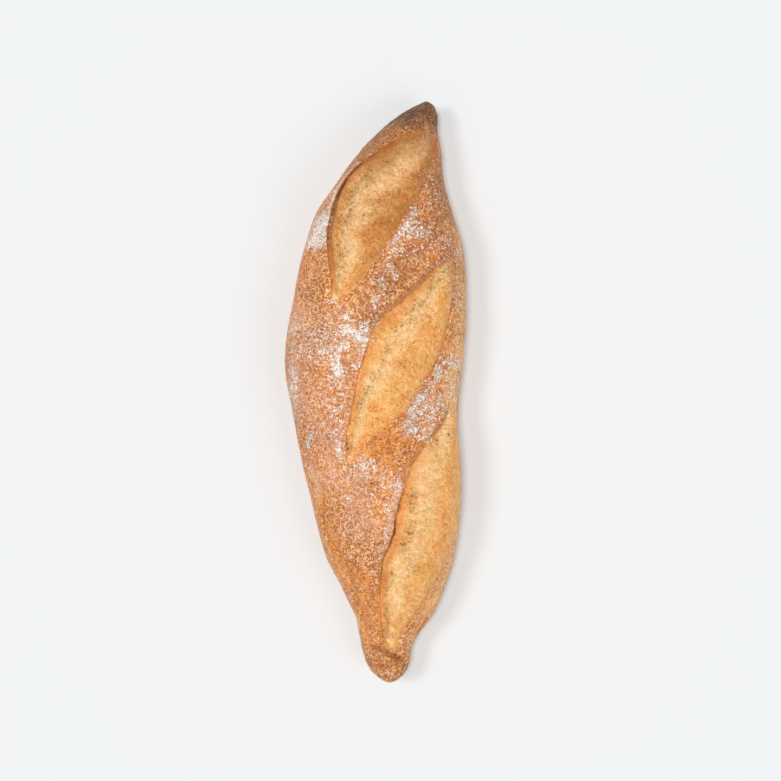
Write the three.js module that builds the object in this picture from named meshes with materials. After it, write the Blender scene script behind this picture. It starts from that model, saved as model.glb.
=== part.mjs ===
// A short, wide, hand-shaped baguette: one baked piece with a flat sole, a domed crown, two tapering ends
// that lift off the surface, and three slanting slashes that opened in the oven.
//
// Millimetres. +Y runs along the loaf towards its slim end, +Z is up, and the origin is on the sole,
// under the middle of the loaf.

import * as THREE from "three";

// Driving dimensions. They scale the ribs below, which are drawn for a loaf of the second set of sizes.
const LENGTH = 330;
const WIDTH = 103;
const CROWN_HEIGHT = 57;
const LENGTH_DRAWN = 329.8;
const WIDTH_DRAWN = 103;
const CROWN_DRAWN = 57;

// How finely the crust is faceted. Crowding brings the columns closer together on the crown than on the sole.
const COLUMNS = 44;
const RINGS = 92;
const CROWDING = 0.38;

// The ribs of the loaf, from the slim end to the knob at the other end. Each gives its place along the loaf,
// the left and right edges of the outline seen from above, and the heights of the crown and of the underside.
const RIBS_DRAWN = [
  // along, left, right, crown, underside
  [164.9, 28.6, 28.6, 22, 22],
  [162.6, 23.4, 32.6, 26, 17],
  [157, 12.6, 34.9, 30.5, 12],
  [149, 2.6, 34.7, 36, 8],
  [137, -9.4, 37.2, 42, 4],
  [121, -21.2, 38.6, 48, 1],
  [101, -33.8, 44, 52.5, 0],
  [80, -41.2, 49.7, 55, 0],
  [54, -46.9, 51.3, 56.5, 0],
  [20, -51.7, 49.6, 57, 0],
  [-8, -48.4, 46.4, 56, 0],
  [-38, -42.6, 46.7, 54.5, 0],
  [-68, -35.7, 47.3, 53, 0],
  [-92, -28.8, 44.9, 50.5, 0],
  [-111, -19.4, 39.4, 46.5, 1],
  [-126, -12.4, 32.6, 41, 3],
  [-137, -9.9, 24.4, 36.5, 6],
  [-146, -7.9, 20, 33.5, 8],
  [-154.5, -4.9, 18.6, 31, 10],
  [-161, 0, 15.2, 27.5, 13.5],
  [-164.9, 7.6, 7.6, 21, 21],
];

// The section of a rib: where its widest point lies between underside and crown, and how square its lower
// half is. The lower half is cut off at the sole, so the loaf stands on a flat face.
const BELLY_SHARE = 0.4;
const LOWER_ROUNDNESS = 0.75;
const SOLE_CUT = 0.86;

// The slashes. Each edge is a list of [along the loaf, degrees round the crown], where 0 is the ridge of the
// crown, -90 the left side and 90 the right side. The ear is the edge that the blade lifted, and the hem is
// the edge that the crumb swelled out over.
const SLASHES = [
  {
    ear: [[152, 42], [144, -6], [130, -47], [116, -58], [90, -49], [70, -40], [48, -30]],
    hem: [[152, 46], [142, 61], [120, 44], [95, 14], [77, -2], [61, -14], [48, -28]],
  },
  {
    ear: [[76, 56], [60, 27], [40, 0], [18, -8], [-4, -14], [-25, -21], [-39, -24]],
    hem: [[76, 60], [56, 58], [25, 50], [2, 33], [-17, 8], [-30, -10], [-39, -21]],
  },
  {
    ear: [[-5, 63], [-22, 47], [-45, 18], [-72, 4], [-103, -9], [-126, -16], [-147, 14]],
    hem: [[-5, 74], [-30, 83], [-58, 91], [-82, 78], [-110, 47], [-131, 25], [-147, 22]],
  },
];

// The relief of an open slash, measured outwards from the crust: a lifted ear with a cut at its foot, a
// swollen bloom, and a shallow hem. The bloom's top lies this share of the way from ear to hem.
const EAR_RISE = 2.2;
const EAR_FALLOFF = 10;
const CUT_DEPTH = 2;
const CUT_WIDTH = 4.5;
const BLOOM_RISE = 2.6;
const BLOOM_TOP = 0.6;
const HEM_DEPTH = 1;
const HEM_FALLOFF = 4;

// Each curve through a slash's edge is read off at this many steps between its points.
const EDGE_STEPS = 8;

const CROWN_TO_SOLE = 180;

const { degToRad, lerp, inverseLerp, smoothstep } = THREE.MathUtils;

// The ribs at the stated sizes.
function sizedRibs() {
  return RIBS_DRAWN.map(([y, left, right, crown, under]) => ({
    y: (y * LENGTH) / LENGTH_DRAWN,
    left: (left * WIDTH) / WIDTH_DRAWN,
    right: (right * WIDTH) / WIDTH_DRAWN,
    crown: (crown * CROWN_HEIGHT) / CROWN_DRAWN,
    under: (under * CROWN_HEIGHT) / CROWN_DRAWN,
  }));
}

// The rib beyond a tip is its neighbour turned over. It makes the tip round and not pointed.
const pastTip = (rib) => ({
  y: rib.y,
  left: rib.right,
  right: rib.left,
  crown: rib.under,
  under: rib.crown,
});

// A function that takes a share of the way from tip to tip and gives a smooth rib.
function loft(ribs) {
  const drawn = [pastTip(ribs[1]), ...ribs, pastTip(ribs.at(-2))];
  const curveOf = (key) => new THREE.SplineCurve(drawn.map((rib) => new THREE.Vector2(rib[key], rib.y)));
  const curves = ["left", "right", "crown", "under"].map((key) => [key, curveOf(key)]);
  return (share) => {
    const t = (1 + share * (ribs.length - 1)) / (drawn.length - 1);
    const rib = {};
    for (const [key, curve] of curves) {
      const point = curve.getPoint(t);
      rib[key] = point.x;
      rib.y = point.y;
    }
    rib.under = Math.max(rib.under, 0);
    return rib;
  };
}

// A point of a rib's section, pushed outwards by the relief. Degrees run from 0 on the crown to 90 on the
// right side and 180 on the sole, and to -180 the other way round.
function sectionPoint(rib, degrees, relief) {
  const middle = (rib.left + rib.right) / 2;
  const halfWidth = (rib.right - rib.left) / 2;
  const belly = lerp(rib.under, rib.crown, BELLY_SHARE);
  const sideways = Math.sin(degToRad(degrees));
  const upwards = Math.cos(degToRad(degrees));
  const point = new THREE.Vector3(middle + halfWidth * sideways, rib.y, lerp(belly, rib.crown, upwards));
  if (upwards < 0) {
    point.x = middle + halfWidth * Math.sign(sideways) * Math.abs(sideways) ** LOWER_ROUNDNESS;
    point.z = Math.max(rib.under, belly - ((belly - rib.under) * (-upwards) ** LOWER_ROUNDNESS) / SOLE_CUT);
  }
  point.x += relief * sideways;
  point.z += relief * upwards;
  return point;
}

// A slash's edge as a function from the place along the loaf to degrees round the crown.
function edgeFrom(points) {
  const curve = new THREE.SplineCurve(points.map(([y, degrees]) => new THREE.Vector2(y, degrees)));
  const steps = curve.getPoints(points.length * EDGE_STEPS);
  return (y) => {
    const next = Math.max(1, steps.findIndex((point) => point.x <= y));
    const [above, below] = [steps[next - 1], steps[next]];
    return lerp(above.y, below.y, inverseLerp(above.x, below.x, y));
  };
}

const slashes = SLASHES.map(({ ear, hem }) => ({
  from: ear[0][0],
  to: ear.at(-1)[0],
  ear: edgeFrom(ear),
  hem: edgeFrom(hem),
}));

const slashesAt = (y) => slashes.filter((slash) => slash.to < y && y < slash.from);

// The relief of one slash, at distances past its ear and past its hem that run to the right.
function slashProfile(pastEar, pastHem) {
  if (pastEar < 0) return EAR_RISE * smoothstep(pastEar, -EAR_FALLOFF, 0);
  if (pastHem > 0) return -HEM_DEPTH * (1 - smoothstep(pastHem, 0, HEM_FALLOFF));
  const across = pastEar / (pastEar - pastHem);
  const bloom = lerp(-CUT_DEPTH, BLOOM_RISE, smoothstep(across, 0, BLOOM_TOP));
  const swollen = lerp(bloom, -HEM_DEPTH, smoothstep(across, BLOOM_TOP, 1));
  return lerp(EAR_RISE, swollen, smoothstep(pastEar, 0, CUT_WIDTH));
}

// How far the slashes push the crust outwards at a point. Each fades out towards its own ends.
function reliefAt(y, degrees, halfWidth) {
  let relief = 0;
  for (const slash of slashesAt(y)) {
    const opening = Math.sqrt(Math.sin(Math.PI * inverseLerp(slash.from, slash.to, y)));
    const past = (edge) => halfWidth * degToRad(degrees - edge(y));
    relief += opening * slashProfile(past(slash.ear), past(slash.hem));
  }
  return relief;
}

// The columns of a ring, from the sole over the left side, crown and right side back to the sole. The column
// nearest each slash edge is moved onto it and carries the edge's name, so that the edges come out crisp.
function ringColumns(y) {
  const columns = Array.from({ length: COLUMNS }, (_, i) => {
    const share = (2 * i) / COLUMNS - 1;
    return { degrees: CROWN_TO_SOLE * share * (1 - CROWDING + CROWDING * share ** 2), edge: null };
  });
  for (const slash of slashesAt(y)) {
    for (const edge of [slash.ear, slash.hem]) {
      const degrees = edge(y);
      const free = columns.filter((column) => !column.edge);
      const miss = (column) => Math.abs(column.degrees - degrees);
      const nearest = free.reduce((best, column) => (miss(column) < miss(best) ? column : best));
      nearest.degrees = degrees;
      nearest.edge = edge;
    }
  }
  return columns.sort((a, b) => a.degrees - b.degrees);
}

// The corners of the crust: rings of columns from tip to tip, closer together towards the tips.
function crustRings() {
  const ribAt = loft(sizedRibs());
  return Array.from({ length: RINGS + 1 }, (_, i) => {
    const rib = ribAt((1 - Math.cos((Math.PI * i) / RINGS)) / 2);
    const halfWidth = (rib.right - rib.left) / 2;
    return ringColumns(rib.y).map(({ degrees, edge }) => {
      return { point: sectionPoint(rib, degrees, reliefAt(rib.y, degrees, halfWidth)), edge };
    });
  });
}

// Two triangles between four corners. Their shared side follows a slash edge where one crosses, and is
// otherwise the shorter of the two.
function patch(a, b, c, d) {
  const along = (one, other) => one.edge && one.edge === other.edge;
  const shorter = a.point.distanceTo(c.point) < b.point.distanceTo(d.point);
  const acrossAC = along(a, c) || (shorter && !along(b, d));
  const corners = acrossAC ? [a, c, b, a, d, c] : [a, d, b, b, d, c];
  return corners.map((corner) => corner.point);
}

// The crust as one closed body. At each tip a ring is a single point, so half of each patch is left out.
function loafGeometry() {
  const rings = crustRings();
  const points = [];
  for (let i = 0; i < RINGS; i++) {
    for (let j = 0; j < COLUMNS; j++) {
      const next = (j + 1) % COLUMNS;
      const [a, b, c, d] = [rings[i][j], rings[i][next], rings[i + 1][next], rings[i + 1][j]];
      if (i === 0) points.push(a.point, d.point, c.point);
      else if (i === RINGS - 1) points.push(a.point, d.point, b.point);
      else points.push(...patch(a, b, c, d));
    }
  }
  const geometry = new THREE.BufferGeometry().setFromPoints(points);
  geometry.computeBoundingBox();
  const { min, max } = geometry.boundingBox;
  geometry.translate(-(min.x + max.x) / 2, -(min.y + max.y) / 2, -min.z);
  geometry.computeVertexNormals();
  return geometry;
}

const crust = new THREE.MeshStandardMaterial({ color: 0xc4844f, roughness: 0.75, metalness: 0 });

const loaf = new THREE.Mesh(loafGeometry(), crust);
loaf.name = "loaf";

const baguette = new THREE.Group();
baguette.add(loaf);

export default baguette;
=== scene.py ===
"""A short, wide, hand-shaped baguette lying on a pale floor.

The loaf is one piece: a sphere whose rings become the ribs of the loaf, opened by three slanting slashes.
Millimetres are used for its shape and metres for everything in the scene. +Y runs to the slim dark end.
"""

import math
from types import SimpleNamespace

import bpy
import numpy as np
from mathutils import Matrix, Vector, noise


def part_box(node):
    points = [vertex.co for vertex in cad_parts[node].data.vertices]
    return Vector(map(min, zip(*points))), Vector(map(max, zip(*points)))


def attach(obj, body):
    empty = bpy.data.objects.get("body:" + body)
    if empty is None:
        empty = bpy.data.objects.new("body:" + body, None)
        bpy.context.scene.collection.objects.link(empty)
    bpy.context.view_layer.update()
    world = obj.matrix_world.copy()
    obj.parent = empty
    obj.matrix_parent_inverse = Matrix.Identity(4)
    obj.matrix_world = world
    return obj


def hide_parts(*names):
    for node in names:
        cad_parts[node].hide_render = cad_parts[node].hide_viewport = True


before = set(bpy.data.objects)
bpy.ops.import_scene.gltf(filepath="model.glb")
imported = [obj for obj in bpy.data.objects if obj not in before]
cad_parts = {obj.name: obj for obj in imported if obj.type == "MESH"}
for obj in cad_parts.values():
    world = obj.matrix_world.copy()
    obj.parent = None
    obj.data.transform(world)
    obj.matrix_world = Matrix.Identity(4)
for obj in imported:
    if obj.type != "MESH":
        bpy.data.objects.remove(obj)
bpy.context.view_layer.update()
LOAF_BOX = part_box("loaf")

bl_info = {
    "name": "Hand-shaped Baguette",
    "version": (1, 0, 0),
    "blender": (4, 5, 0),
    "location": "3D View > Sidebar > Baguette",
    "description": "Builds a slashed, floured baguette and a pale studio around it",
    "category": "Add Mesh",
}

MM = 0.001

# The ribs of the loaf: place along it, left and right edges seen from above, crown and underside heights.
RIBS = np.array((
    (164.9, 28.6, 28.6, 22, 22),
    (162.6, 23.4, 32.6, 26, 17),
    (157, 12.6, 34.9, 30.5, 12),
    (149, 2.6, 34.7, 36, 8),
    (137, -9.4, 37.2, 42, 4),
    (121, -21.2, 38.6, 48, 1),
    (101, -33.8, 44, 52.5, 0),
    (80, -41.2, 49.7, 55, 0),
    (54, -46.9, 51.3, 56.5, 0),
    (20, -51.7, 49.6, 57, 0),
    (-8, -48.4, 46.4, 56, 0),
    (-38, -42.6, 46.7, 54.5, 0),
    (-68, -35.7, 47.3, 53, 0),
    (-92, -28.8, 44.9, 50.5, 0),
    (-111, -19.4, 39.4, 46.5, 1),
    (-126, -12.4, 32.6, 41, 3),
    (-137, -9.9, 24.4, 36.5, 6),
    (-146, -7.9, 20, 33.5, 8),
    (-154.5, -4.9, 18.6, 31, 10),
    (-161, 0, 15.2, 27.5, 13.5),
    (-164.9, 7.6, 7.6, 21, 21),
))
ALONG, LEFT, RIGHT, CROWN, UNDER = range(5)
BELLY_SHARE = 0.4
LOWER_ROUNDNESS = 0.75
SOLE_CUT = 0.86

# The slashes. An edge is a line of (place along the loaf, degrees round the crown), from the +Y end. The ear
# is the edge that the blade lifted, and the hem is the edge that the crumb swelled out over. The other lists
# are of (share of the way along the slash, value):
#   lip, roll       how far the ear stands up and over in mm, and how strongly its edge is rolled
#   pale, dark      how pale the ear's edge is, and how dark the painted shadow in the cut under it is
#   crease, cream   the shares of the way across at which the crumb tore last, and at which it is palest
#   soft, hem_soft  how gradually crust turns to crumb at the ear and at the hem
#   hem_dark        how dark the line along the hem is: browned crust edge and painted shadow
# Then "tuck" is how far past the ear its painted shadow lies for each mm of lip, "cream_width" is the half
# width of the palest crumb as a share of the way across, "rise" is how high the crumb swelled in mm, the
# next value is the strength of painted shade that browns the crumb beside the ear, and "grain" points round
# and along the loaf, across the crumb's fibres.
SLASHES = (
    {
        "ear": ((151, 39), (144, -6), (137, -27), (129, -48), (122, -56), (114, -57.5), (100, -51),
                (90, -49), (81, -45), (73, -41), (62, -36), (54, -34), (49, -31)),
        "hem": ((151, 48), (142, 62), (135, 56), (127, 48.5), (120, 43.5), (111, 33.5), (104, 23.5),
                (95, 14), (85, 5), (77, -2), (70, -8), (61, -14), (54, -23), (49, -30)),
        "lip": ((0, 0), (0.07, 0.4), (0.16, 0.9), (0.26, 1.2), (0.4, 1.4), (0.72, 1.6), (0.9, 1.4), (1, 0)),
        "pale": ((0, 0), (0.12, 0.1), (0.2, 0.4), (0.3, 0.7), (0.4, 1.05), (0.55, 1.2), (0.66, 0.3), (1, 0)),
        "roll": ((0, 0), (1, 0)), "crease": ((0, 0.35), (0.3, 0.3), (0.6, 0.32), (0.85, 0.34), (1, 0.4)),
        "cream": ((0, 0.5), (0.25, 0.47), (0.47, 0.44), (0.58, 0.44), (0.7, 0.49), (0.88, 0.46), (1, 0.42)),
        "dark": ((0, 0.6), (0.15, 0.8), (0.4, 0.8), (0.52, 0.6), (0.64, 0.45), (0.85, 0.5), (1, 0.5)),
        "soft": ((0, 1), (0.05, 0.6), (0.1, 0.2), (0.2, 0.05), (1, 0)),
        "hem_soft": ((0, 0.5), (1, 0.15)), "hem_dark": ((0, 0.3), (0.5, 0.2), (1, 0.1)),
        "tuck": 0.45, "cream_width": 0.2, "rise": 4.2, "ear_shadow": 0.55, "grain": (0.6, 0.8),
    },
    {
        "ear": ((76, 56), (70, 40), (60, 26.5), (52, 15.5), (45, 6.5), (38, -1.5), (28, -5), (18, -8),
                (8, -11.5), (-4, -14.5), (-15, -18.5), (-25, -22.5), (-33, -24), (-40, -24)),
        "hem": ((76, 59), (70, 61), (60, 59.5), (48, 56), (37, 52), (25, 48.5), (13, 41.5), (2, 33),
                (-7, 23.5), (-13, 16), (-17, 8.5), (-24, -2), (-32, -13), (-40, -22)),
        "lip": ((0, 0), (0.3, 0.2), (0.5, 0.8), (0.7, 1), (0.85, 0.8), (1, 0)),
        "pale": ((0, 0), (0.5, 0.3), (1, 0)),
        "roll": ((0, 0), (1, 0)), "crease": ((0, 0.35), (0.25, 0.3), (0.6, 0.28), (0.8, 0.25), (1, 0.3)),
        "cream": ((0, 0.25), (0.17, 0.28), (0.41, 0.41), (0.58, 0.37), (0.74, 0.27), (0.87, 0.55), (1, 0.6)),
        "dark": ((0, 1), (1, 1)),
        "soft": ((0, 1), (0.35, 0.9), (0.5, 0.35), (0.8, 0.3), (1, 0.6)),
        "hem_soft": ((0, 0.2), (0.6, 0.1), (1, 0.6)),
        "hem_dark": ((0, 0.2), (0.15, 0.7), (0.5, 0.7), (0.75, 0.3), (1, 0)),
        "tuck": 0.9, "cream_width": 0.16, "rise": 3.6, "ear_shadow": 0.1, "grain": (0.6, 0.8),
    },
    {
        "ear": ((-4, 66), (-12, 60), (-19, 51.5), (-27, 38.5), (-36, 27.5), (-45, 18.5), (-52, 14.5),
                (-60, 9.5), (-72, 4), (-84, -1.5), (-92, -7.5), (-103, -12.5), (-114, -18), (-126, -20.5),
                (-137, -14), (-147, 14)),
        "hem": ((-4, 73), (-20, 79), (-36, 84), (-50, 87), (-64, 86), (-78, 78), (-86, 70), (-95, 61),
                (-105, 53), (-114, 43), (-122, 35), (-131, 28), (-139, 26), (-147, 19)),
        "lip": ((0, 0), (0.28, 0.2), (0.34, 1.6), (0.46, 2), (0.6, 1.8), (0.7, 0.8), (0.9, 0.6), (1, 0)),
        "pale": ((0, 0), (0.3, 0), (0.33, 0.9), (0.37, 0.4), (0.6, 0.3), (0.7, 0), (1, 0)),
        "roll": ((0, 0), (0.26, 0), (0.36, 1), (0.58, 1), (0.7, 0.1), (1, 0)),
        "crease": ((0, 0.2), (0.2, 0.18), (0.4, 0.17), (0.53, 0.24), (0.7, 0.22), (0.85, 0.24), (1, 0.25)),
        "cream": ((0, 0.24), (0.2, 0.24), (0.38, 0.27), (0.53, 0.36), (0.69, 0.34), (0.82, 0.38), (1, 0.3)),
        "dark": ((0, 1), (0.7, 1), (0.8, 0.5), (1, 0.5)),
        "soft": ((0, 1), (0.27, 0.8), (0.35, 0.1), (0.62, 0.1), (0.75, 0.4), (1, 0.5)),
        "hem_soft": ((0, 0.3), (0.4, 0.6), (0.7, 1), (1, 0.6)),
        "hem_dark": ((0, 0.2), (0.5, 0.4), (0.8, 0.5), (1, 0.2)),
        "tuck": 1.15, "cream_width": 0.17, "rise": 4.4, "ear_shadow": 0.1, "grain": (0.35, 0.94),
    },
)

# Folds in the crust: a line as above, and in mm the depth of its furrow, the height of the ridge beside it,
# and its half width.
FOLDS = (
    {"line": ((-142.4, -50), (-144, -26), (-146.4, -4), (-149, 13.5), (-150.2, 36), (-151.5, 62)),
     "furrow": 2, "ridge": 1.5, "width": 1.2},
    {"line": ((-50, -50), (-58, -53), (-76, -62), (-95, -46), (-110, -49), (-125, -54), (-140, -50)),
     "furrow": 0.7, "ridge": 0.2, "width": 1.8},
    {"line": ((47, -61), (32, -57), (20, -54), (3, -56)), "furrow": 0.5, "ridge": 0.4, "width": 1.3},
)

# Small dark pits in the crust and the crumb, their darkness painted shade: place across and along the loaf,
# and radius, in mm.
PITS = ((12, -148.8, 1.2), (14.6, -150.4, 1.1), (16.5, -155.2, 1.2), (-23.9, 49.3, 1), (-20.6, 65.2, 1.1),
        (-6, 98, 0.9), (-13.5, 101, 0.9), (39.5, -23.5, 1.1), (33, 36, 0.7), (-4, 113.5, 0.8))

# Flour rubbed onto the crust: strokes seen from above, from one place to another, with their half width and
# strength.
FLOUR_STROKES = (
    # Left of the first slash, and its right side
    (-23, 114, -28, 97, 1.3, 0.75), (-29, 97, -35, 84, 4.4, 1.1), (-30, 93, -30.5, 86, 3, 1.1),
    (22, 102, 18, 94, 2.4, 0.8), (18, 94, 11.5, 84, 2.8, 0.85), (17, 92, 24, 88, 4, 0.62),
    (8, 69, 10.5, 63, 1.6, 0.7), (4, 59, 1, 58.5, 1.6, 0.75), (0.5, 52, 0, 47, 2.4, 0.7),
    # Left of the second slash
    (-19, 41.5, -5, 38, 1.3, 0.8), (-17, 34, -5, 29, 3, 1.1), (-27, 31, -17, 32, 1.6, 0.7),
    (-5, 38, -8, 23, 1.7, 0.95), (-30.5, 23, -16.5, 25.5, 2.2, 0.9), (-22, 17.5, -20.5, 10.5, 3.4, 1.05),
    (-13, 14, -10, 15, 1.9, 0.95), (-25, 5.5, -16, 6, 1.6, 0.5), (-24.5, -2.5, -17, -0.5, 1.6, 0.45),
    (-22, 53.5, -25.5, 49.5, 1.8, 0.5), (-46, 36, -45.5, 33, 2, 0.8), (-46, 12.5, -47.5, -4.5, 2, 0.75),
    (-36, -23.5, -39, -28.5, 1.8, 0.85), (-23, -15, -22.5, -21, 1.6, 0.5),
    (-20, -26.5, -20, -33, 1.7, 0.85),
    # Right of the second slash
    (39, 18, 45, 15.5, 1.8, 0.8), (35.5, 12.5, 34.5, 8.5, 2.2, 1), (44, 5, 43.5, 2, 2, 0.5),
    (28, 0, 24, -4, 2.2, 1), (23, -9, 31, -10, 3, 0.75), (19.5, -10, 18, -20, 2.2, 0.75),
    (19, -20.5, 21, -22, 2, 1.05), (25.5, -13, 26.5, -26, 2.4, 0.6), (31, -11.5, 31.5, -21.5, 2, 0.6),
    (36.5, -4.5, 40, -13, 1.8, 0.5),
    # Below the second slash
    (-13, -40.5, -1, -40, 1.5, 0.65), (-2.5, -38.5, -1, -44.5, 1.5, 0.6),
    (-11.5, -45.5, -6, -45.5, 1.1, 0.55), (12.5, -51, 7.5, -54, 1.4, 0.85),
    (13.5, -44, 11.5, -50, 0.9, 0.6), (-16.5, -57.5, -15, -61.5, 1.5, 0.6), (6.5, -64, 7, -68.5, 2, 0.6),
    (6, -77, 7, -80, 2, 0.65),
    # Sprinkled ground
    (26, 118, 36, 106, 6, 0.28), (30, 90, 44, 80, 6, 0.36), (20, 80, 42, 78, 8, 0.28),
    (12, 82, 0, 50, 5, 0.4), (40, 74, 47, 50, 4, 0.35), (-30, 30, -6, 34, 8, 0.5),
    (-28, 24, -20, 6, 7, 0.42), (-42, 22, -30, 26, 5, 0.36), (28, -2, 20, -20, 6, 0.6),
    (34, -6, 28, -24, 6, 0.55), (43, 16, 44, 0, 5, 0.42), (-46, 40, -48, -20, 3, 0.42),
    (-22, -10, -19, -36, 4, 0.42), (-15, -42, 8, -52, 8, 0.24), (7, -58, 3, -92, 3.4, 0.16),
    (-4, -73, 0, -84, 5, 0.18),
)

# Crust dulled by a bloom of fine flour: the same, for broad soft areas.
HAZE_STROKES = (
    (-44, 40, -44, -10, 10, 0.9), (-30, -8, -28, -45, 12, 0.8), (-12, -45, -9, -78, 9, 0.9),
    (-25, 45, -12, 20, 10, 0.6), (-27, 108, -34, 86, 5, 0.4), (13, -54, 5.5, -92, 3, 1.1),
    (-40, 10, -36, -30, 6, 0.5), (45, -84, 38, -110, 3, 1), (-15, 14, -15, -14, 5, 0.5),
)

# Smoother crust, more orange, and below it crust and crumb baked browner: the same.
ORANGE_STROKES = (
    (22, 83, 37, 77, 4, 1), (4, -30, 28, -13, 9, 1.1), (36, -22, 18, -46, 5, 1),
    (-30, -61, -15, -110, 4, 0.8), (-20, -95, 2, -118, 8, 0.8), (40, -96, 22, -140, 6, 0.6),
    (44, 84, 48, 36, 4, 0.6), (-10, -120, -4, -142, 6, 1), (4, -150, 12, -156, 7, 0.5),
    (-38, 86, -44, 66, 4, 0.5),
)
BROWN_STROKES = (
    (14, 156, -16, 131, 9, 1.1), (39, 126, 44, 76, 10, 1), (31, 92, 11, 64, 9, 0.9),
    (-8, 52, 0, 34, 6, 0.5), (-38, 64, -30, 46, 7, 0.4), (2, -156, 14, -158, 9, 0.7),
    (30, 140, 36, 150, 6, 0.7), (-4, 133, 30, 146, 11, 1.1), (20, 108, 27, 97, 5, 0.5),
    # The last stroke below is painted shade in the dark cut where the third slash's rolled lip ends.
    (8, 84, -4, 68, 4, 0.45), (-39, 14, -28, -14, 9, 0.3), (7, -95, 4, -108, 4, 0.8),
)
# Crust and crumb made lighter, mostly along the right flank, partly lighter crust and partly painted light
# on that side: the same.
PALE_AND_LIT_STROKES = (
    (45, 92, 50, 62, 5, 0.8), (50, 62, 48, 20, 5.5, 1), (47, 22, 42, -8, 5, 1),
    (40, -98, 30, -126, 4, 0.8), (44, -12, 47, -40, 4, 0.8), (48, -40, 48, -72, 4, 1.1),
    (47, -72, 41, -108, 4, 1.3), (-12, -126, -9, -142, 3, 0.7), (20, -139, 21, -148, 3, 0.7),
)

# How finely the crust is laid out: columns round it, rings along it, and steps along a slash's edge.
COLUMNS = 300
RINGS = 318
EDGE_STEPS = 240

# How finely a slash's edge, the outline and a ring are measured, and how many points are compared at once.
SHARE_STEPS = 2000
OUTLINE_STEPS = 4000
STEPS_PER_DEGREE = 8
BATCH = 4000

# How much closer together the columns lie beside an ear and a hem, and how many of them the sole keeps.
EAR_PULL = 1.6
HEM_PULL = 0.5
SOLE_WEIGHT = 0.45

# Slashes and folds stay within so many degrees of the crown, and pits within fewer. Nothing of a slash is
# left so far past its ends, or of a fold so far outside it, in mm.
UPPER_SIDE = 140
PIT_SIDE = 110
SLASH_REACH = 25
FOLD_REACH = 20

# Before any slash is cut, every point of the crust counts as this deep outside one, in mm.
FAR_OUTSIDE = -60

# The relief of a slash: by which share a softened edge stands lower, how far an ear leans out for each mm
# of lip, and in mm how far back an ear is lifted and how deep the crust dips at a hem.
SOFTENING = 0.85
EAR_LEAN = 0.75
EAR_FALLOFF = 11
HEM_DEPTH = 1.1

# Fields that the finish reads: those of the slashes, folds and pits, and all of them.
SLASH_FIELDS = ("inside", "across", "along", "crease", "cream", "soft", "lip", "shade", "fold", "hem")
FINISH_FIELDS = (*SLASH_FIELDS, "cobbled", "flour", "haze", "orange", "brown", "pale", "height", "flank",
                 "tip", "baked")

# The floor: how far it lies flat and the radius of its curve up into a backdrop, in metres, how many sides
# it has, and by how many degrees the curve turns at a time.
FLOOR_RADIUS = 4
CURVE_RADIUS = 2
FLOOR_SIDES = 96
CURVE_STEP = 10

# The place that the camera looks straight down on, in metres, and the width of its sensor in mm.
AIM = (0.0086, 0.0009, 0.024)
SENSOR_WIDTH = 36


def smooth(x, low, high):
    """A soft step from 0 to 1 as x goes from low to high."""
    t = np.clip((x - low) / (high - low), 0, 1)
    return t * t * (3 - 2 * t)


def hump(x, middle, width):
    """A bell of height 1."""
    return np.exp(-(((x - middle) / width) ** 2))


def spline(points, t):
    """A Catmull-Rom curve through rows of points, read at places t that count the rows from 0."""
    points = np.asarray(points, float)
    ends = np.vstack((2 * points[0] - points[1], points, 2 * points[-1] - points[-2]))
    i = np.clip(np.floor(t).astype(int), 0, len(points) - 2)
    u = (t - i)[:, None]
    a, b, c, d = (ends[i + k] for k in range(4))
    bend = 2 * a - 5 * b + 4 * c - d
    twist = 3 * b - a - 3 * c + d
    return 0.5 * (2 * b + (c - a) * u + bend * u**2 + twist * u**3)


def unit(vectors):
    """The same directions with a length of 1."""
    return vectors / np.maximum(np.linalg.norm(vectors, axis=-1, keepdims=True), 1e-9)


def ribs_at(shares):
    """Ribs at shares of the way from tip to tip. Past a tip the outline comes back on its other side."""
    turned = RIBS[:, [ALONG, RIGHT, LEFT, UNDER, CROWN]]
    drawn = np.vstack((turned[1], RIBS, turned[-2]))
    ribs = spline(drawn, 1 + np.asarray(shares) * (len(RIBS) - 1))
    ribs[:, UNDER] = np.maximum(ribs[:, UNDER], 0)
    return ribs


def section(ribs, degrees):
    """Points on the unslashed loaf. 0 degrees is the crown, 90 the right side, and 180 the sole."""
    middle = (ribs[..., LEFT] + ribs[..., RIGHT]) / 2
    half = (ribs[..., RIGHT] - ribs[..., LEFT]) / 2
    belly = ribs[..., UNDER] + BELLY_SHARE * (ribs[..., CROWN] - ribs[..., UNDER])
    sideways = np.sin(np.radians(degrees))
    upwards = np.cos(np.radians(degrees))
    low = upwards < 0
    reach = np.where(low, np.sign(sideways) * np.abs(sideways) ** LOWER_ROUNDNESS, sideways)
    drop = np.abs(upwards) ** LOWER_ROUNDNESS / SOLE_CUT
    below = np.maximum(belly - (belly - ribs[..., UNDER]) * drop, ribs[..., UNDER])
    height = np.where(low, below, belly + (ribs[..., CROWN] - belly) * upwards)
    return np.stack(np.broadcast_arrays(middle + half * reach, ribs[..., ALONG], height), -1)


def lumps(points, size, seed, octaves=3):
    """Noise of about -1 to 1 whose lumps have that size in mm. Size may differ along x, y and z."""
    spots = points.reshape(-1, 3) / np.asarray(size, float) + seed
    return np.array([noise.fractal(spot, 1, 2, octaves) for spot in spots]).reshape(points.shape[:-1])


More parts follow.
